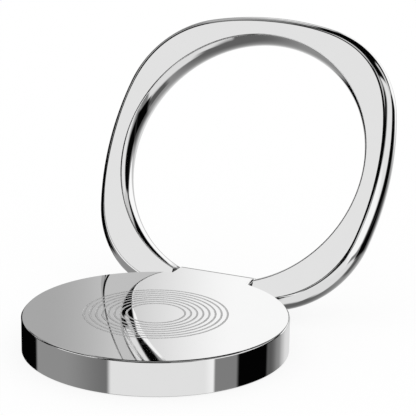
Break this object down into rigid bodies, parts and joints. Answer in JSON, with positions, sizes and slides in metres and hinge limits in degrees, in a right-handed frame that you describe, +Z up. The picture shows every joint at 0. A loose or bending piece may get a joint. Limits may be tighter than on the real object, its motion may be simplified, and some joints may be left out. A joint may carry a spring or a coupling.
{
  "type": "phone ring holder",
  "caption": "Polished chrome phone ring holder: a flat adhesive disc that turns on its base, with a hinged finger ring of rounded-square outline that folds around the disc.",
  "frame": {"origin": "centre of the adhesive pad's underside, on the phone's back", "axes": "+Z up out of the phone along the swivel axis, +Y from the disc's centre to the hinge, +X along the hinge"},
  "size_m": [0.0444, 0.0596, 0.0391],
  "materials": {
    "chrome_plate": "mirror polished",
    "pin_steel": "ground",
    "spring_steel": "satin",
    "plate_steel": "pressed",
    "hinge_washer": "nylon",
    "glide_plastic": "acetal",
    "foam_pad": "matte foam tape"
  },
  "bodies": {
    "base": {"base_plate": "plate_steel", "adhesive_pad": "foam_pad"},
    "cap": {"top_cap": "chrome_plate", "friction_sleeve": "spring_steel", "hinge_washer_left": "hinge_washer", "hinge_washer_right": "hinge_washer", "glide_washer": "glide_plastic", "thrust_washer": "plate_steel", "disc_spring": "spring_steel", "swivel_screw": "pin_steel"},
    "ring": {"finger_ring": "chrome_plate", "hinge_pin": "pin_steel"}
  },
  "joints": [
    {"name": "swivel", "type": "hinge", "parent": "base", "child": "cap", "pos_m": [0, 0, 0], "axis": [0, 0, 1], "continuous": true},
    {"name": "ring_fold", "type": "hinge", "parent": "cap", "child": "ring", "pos_m": [0, 0.0194, 0.0026], "axis": [1, 0, 0], "range_deg": [-60, 120]}
  ]
}
